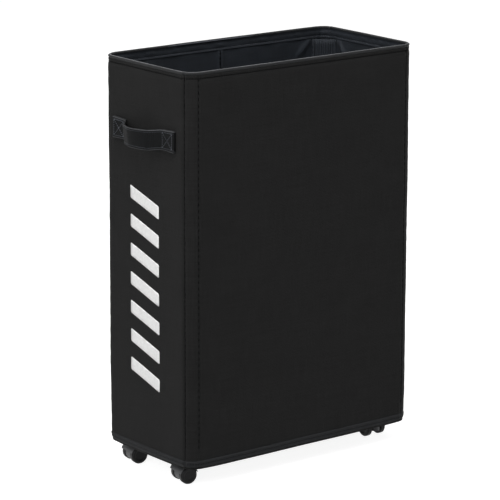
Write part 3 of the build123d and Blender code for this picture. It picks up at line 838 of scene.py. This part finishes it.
# Each bend of the path: its number, how far back along the path it starts, and its steps.
strap_bends = [(1, 0.0012, 4), (2, 0.0012, 4), (3, 0.0040, 6), (4, 0.0220, 20), (5, 0.0020, 5),
               (6, 0.0035, 6), (7, 0.0012, 4), (8, 0.0012, 4)]
# A pale line is painted along both edges of the strap: a painted highlight where the plump turned edges
# catch the light.
strap_polyester = woven("folded_oxford_strap", "0f1011", "18191a", 0.001, 0.76, 0.08, 0.02, 0.00025,
                        wear_and_highlight=(strap_half - 0.0006, 0.0010, "5c5d60"))
strap_stitches = bmesh.new()
for side, sign in (("left", -1), ("right", 1)):
    strap = bmesh.new()
    plump = strap.verts.layers.deform.new()
    posts = lay_path(strap, [(sign * (half_x + off), y, strap_low.z) for off, y in strap_path])
    for number, tangent, segments in strap_bends:
        round_corners(strap, [posts[number]], tangent, segments)
    for edge in [e for e in strap.edges if e.calc_length() > 0.005]:
        bmesh.ops.subdivide_edges(strap, edges=[edge], cuts=round(edge.calc_length() / strap_column))
    for vert in strap.verts:
        vert[plump][0] = strap_rows[0][1]
    ring = strap.edges[:]
    sewn = []
    for across, share in strap_rows[1:]:
        verts, ring = extrude_row(strap, ring)
        for vert in verts:
            vert.co.z = strap_low.z + across
            vert[plump][0] = share
        if abs(abs(across - strap_half) - strap_half + strap_seam) < 1e-6:
            sewn += ring
    map_cloth(strap, lambda place: (place.y, abs(place.z - strap_level)))
    for vert in strap.verts:
        x, y, z = vert.co
        loose = min(max((abs(x) - half_x - tab_lift) / loose_rise, 0.0), 1.0)
        drop = -loop_droop * loose + loop_sag * loose * noise.noise(Vector((y * 30, z * 30, sign)))
        flare = tab_flare * bump_at(abs(y) - tab_end, 0.012) * (z - strap_level) / strap_half
        tilt = loop_tilt * loose * (z - strap_level) / strap_half
        wave = strap_wave * noise.noise(Vector((y * 55, z * 25, 4 * sign)))
        vert.co.z += drop + flare
        vert.co.x += sign * (slack(sign * half_x, y, z) + tilt + wave)
    face_out(strap, lambda place: Vector((-sign, 0, 0)))
    strap.normal_update()
    for edge in sewn:
        spot = (edge.verts[0].co + edge.verts[1].co) / 2
        out = (edge.verts[0].normal + edge.verts[1].normal).normalized()
        out *= copysign(1.0, out.x * sign)
        if abs(spot.x) > half_x + tab_lift - 0.0008:
            run = edge.verts[1].co - edge.verts[0].co
            spot += out * strap_cloth * 0.28
            stitch(strap_stitches, spot, run, out, length=0.8 * run.length, width=0.0007)
    strap_piece = piece(f"handle_strap_cloth_{side}", strap, strap_polyester)
    strap_piece.vertex_groups.new(name="plump")
    band = strap_piece.modifiers.new("thickness", "SOLIDIFY")
    band.thickness = strap_cloth
    band.offset = 0.0
    band.vertex_group = "plump"
    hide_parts(f"handle_strap_{side}")
    out = Vector((sign, 0, 0))
    for foot_y in loop_feet:
        end = copysign(1.0, foot_y)
        box_out, box_in = tab_end - box_margin, abs(foot_y) + box_margin
        box_half = strap_half - strap_seam
        knots = [(box_out, -box_half), (box_out, box_half), (box_in, box_half), (box_in, -box_half),
                 (box_out, box_half), (box_out, -box_half), (box_in, box_half)]
        for (y1, z1), (y2, z2) in zip(knots, knots[1:]):
            run = Vector((0, end * (y2 - y1), z2 - z1))
            count = max(round(run.length / box_pitch), 1)
            for number in range(count):
                spot = Vector((0, end * y1, strap_level + z1)) + run * (number + 0.5) / count
                lift = tab_lift + strap_cloth * 0.42
                spot.x = sign * (half_x + lift + slack(sign * half_x, spot.y, spot.z))
                stitch(strap_stitches, spot, run, out, length=0.0025, width=0.0009)
piece("strap_stitches", strap_stitches, grey_thread)

# Print: seven plain slanted bars in a column down the left end wall, in white screen ink that lies on
# the cloth as a thin matt film and lets the weave show through slightly.
bar_count = 7
bar_low = foot + 0.095
bar_high = foot + 0.382
bar_middle = 0.003
bar_half_width = 0.033
bar_half_height = 0.0092
bar_slant = 0.30
bar_round = 0.0022
bar_grid = 0.004
ink_film = 0.0001
ink_lift = 0.00022
ink_weave = 0.002
ink_patch = 0.004


def screen_ink():
    """Plastisol ink on cloth: matt white, a little thinner where the yarns cross."""
    material, tree = new_tree("white_screen_ink")
    place = add(tree, "TexCoord", {}).outputs["Object"]
    turned = add(tree, "Mapping", {"Vector": place, "Rotation": (0.0, pi / 2, 0.0)})
    bands = wave_unit / ink_weave
    yarns_up = add(tree, "TexWave", {"Vector": place, "Scale": bands}, bands_direction="Y")
    yarns_across = add(tree, "TexWave", {"Vector": turned.outputs["Vector"], "Scale": bands},
                       bands_direction="X")
    weave = add(tree, "Math", {0: yarns_up.outputs["Fac"], 1: yarns_across.outputs["Fac"]},
                operation="MULTIPLY")
    cover = add(tree, "TexNoise", {"Vector": place, "Scale": 1 / ink_patch, "Detail": 4.0})
    both = add(tree, "Math", {0: weave.outputs[0], 1: 0.5, 2: cover.outputs["Fac"]},
               operation="MULTIPLY_ADD")
    tone = add(tree, "MapRange", {"Value": both.outputs[0], "From Min": 0.3, "From Max": 0.9})
    colour = add(tree, "Mix", {0: tone.outputs[0], 6: linear("e6e6e5"), 7: linear("f8f8f7")},
                 data_type="RGBA")
    relief = add(tree, "Bump", {"Strength": 0.4, "Distance": 0.0001, "Height": both.outputs[0]})
    shader = add(tree, "BsdfPrincipled", {
        "Base Color": colour.outputs[2], "Normal": relief.outputs[0], "Roughness": 0.6,
        "Specular IOR Level": 0.3,
    })
    add(tree, "OutputMaterial", {"Surface": shader.outputs[0]})
    return material


bars = bmesh.new()
bar_pitch = (bar_high - bar_low) / bar_count
for number in range(bar_count):
    bar = bmesh.ops.create_grid(bars, x_segments=1, y_segments=1, size=1.0)["verts"]
    level = bar_low + bar_pitch * (number + 0.5)
    for vert in bar:
        across, up = vert.co.x * bar_half_width, vert.co.y * bar_half_height
        vert.co = (-half_x, bar_middle + across, level + up + bar_slant * across)
round_corners(bars, bars.verts[:], bar_round, 4)
for way, start, stop in ((y_way, bar_middle - bar_half_width, bar_middle + bar_half_width),
                         (z_way, bar_low - 0.01, bar_high + 0.01)):
    steps = round((stop - start) / bar_grid)
    slice_at(bars, [start + (stop - start) * step / steps for step in range(1, steps)], way)
face_out(bars, lambda place: -x_way)
for vert in bars.verts:
    vert.co.x -= slack(-half_x, vert.co.y, vert.co.z) + ink_lift
bars_piece = piece("printed_bars", bars, screen_ink())
thicken(bars_piece, ink_film)

# Casters: moulded polypropylene housings swivel on plated stems, and each carries two black wheels on
# a steel axle. The housings come from the mould greyer and grainier than the smooth wheels.
housing_plastic = moulded("charcoal_polypropylene", "393a3c", "47484a", 0.45, 0.3, 0.0006, 0.00004)
wheel_plastic = moulded("black_wheel_polypropylene", "131314", "1b1b1c", 0.42, 0.14, 0.0008, 0.00002)
stem_steel = metal_finish("plated_stem_steel", "8d9095", "abaeb2", 1.0, 0.34, 0.0012, 0.00003)
for corner in corners:
    coat([f"caster_stem_{corner}", f"caster_ring_{corner}", f"caster_axle_{corner}"], stem_steel)
    coat([f"caster_housing_{corner}"], housing_plastic)
    coat([f"caster_wheel_{corner}_1", f"caster_wheel_{corner}_2"], wheel_plastic)

# Studio: a white floor and surround under a large softbox, with a second light from the left and weak
# fills in front and behind, seen from the height of a standing person's chest through a long lens.
floor_half = 6.0
floor_glow = 0.90
surround_light = 0.25
floor_mesh = bmesh.new()
bmesh.ops.create_grid(floor_mesh, x_segments=1, y_segments=1, size=floor_half)
floor_data = bpy.data.meshes.new("studio_floor")
floor_mesh.to_mesh(floor_data)
floor_mesh.free()
floor = bpy.data.objects.new("studio_floor", floor_data)
scene.collection.objects.link(floor)
white_floor, floor_tree = new_tree("white_studio_floor")


def seen_straight(tree):
    """1 for the rays that show the surround to the camera, directly or in a reflection."""
    rays = add(tree, "LightPath", {})
    seen = rays.outputs["Is Camera Ray"]
    for kind in ("Is Glossy Ray", "Is Transmission Ray"):
        seen = add(tree, "Math", {0: seen, 1: rays.outputs[kind]}, operation="MAXIMUM").outputs[0]
    return seen


paper = add(floor_tree, "BsdfDiffuse", {"Color": linear("b8b8b8")})
lift = add(floor_tree, "Math", {0: seen_straight(floor_tree), 1: floor_glow}, operation="MULTIPLY")
glow = add(floor_tree, "Emission", {"Strength": lift.outputs[0]})
floor_look = add(floor_tree, "AddShader", {0: paper.outputs[0], 1: glow.outputs[0]})
add(floor_tree, "OutputMaterial", {"Surface": floor_look.outputs[0]})
floor_data.materials.append(white_floor)

world = bpy.data.worlds.new("white_studio")
world.use_nodes = True
world.node_tree.nodes.clear()
sky = world.node_tree
brightness = add(sky, "MapRange", {"Value": seen_straight(sky), "To Min": surround_light, "To Max": 1.0})
surround = add(sky, "Background", {"Strength": brightness.outputs[0]})
add(sky, "OutputWorld", {"Surface": surround.outputs[0]})
scene.world = world

aim = Vector((0, 0, (foot + rim_top) / 2))
# Place, width in metres and power in watts.
lamps = {
    "softbox_above": ((-0.5, -0.5, 2.5), 2.0, 60),
    "key_left": ((-2.5, -0.8, 1.3), 1.5, 28),
    "fill_front": ((2.0, -2.2, 1.5), 1.6, 6),
    "fill_back": ((1.6, 2.6, 1.4), 1.6, 16),
}
for name, (spot, size, power) in lamps.items():
    lamp = bpy.data.lights.new(name, "AREA")
    lamp.size = size
    lamp.energy = power
    stand = bpy.data.objects.new(name, lamp)
    stand.location = spot
    stand.rotation_euler = (aim - Vector(spot)).to_track_quat("-Z", "Y").to_euler()
    scene.collection.objects.link(stand)

azimuth, elevation, roll = radians(-38.249), radians(13.613), radians(0.197)
camera_distance = 4.0854
lens_back = Vector((sin(azimuth) * cos(elevation), -cos(azimuth) * cos(elevation), sin(elevation)))
level_right = Vector((cos(azimuth), sin(azimuth), 0))
level_up = lens_back.cross(level_right)
right = level_right * cos(roll) + level_up * sin(roll)
lens_up = level_up * cos(roll) - level_right * sin(roll)
camera_data = bpy.data.cameras.new("camera")
camera_data.sensor_width = 36.0
camera_data.lens = 207.27
camera_data.shift_x = -0.01984
camera_data.shift_y = -0.01776
camera_data.clip_end = 100.0
camera = bpy.data.objects.new("camera", camera_data)
turn = Matrix((right, lens_up, lens_back)).transposed().to_4x4()
camera.matrix_world = Matrix.Translation(aim + lens_back * camera_distance) @ turn
scene.collection.objects.link(camera)
scene.camera = camera

scene.view_settings.view_transform = "Standard"
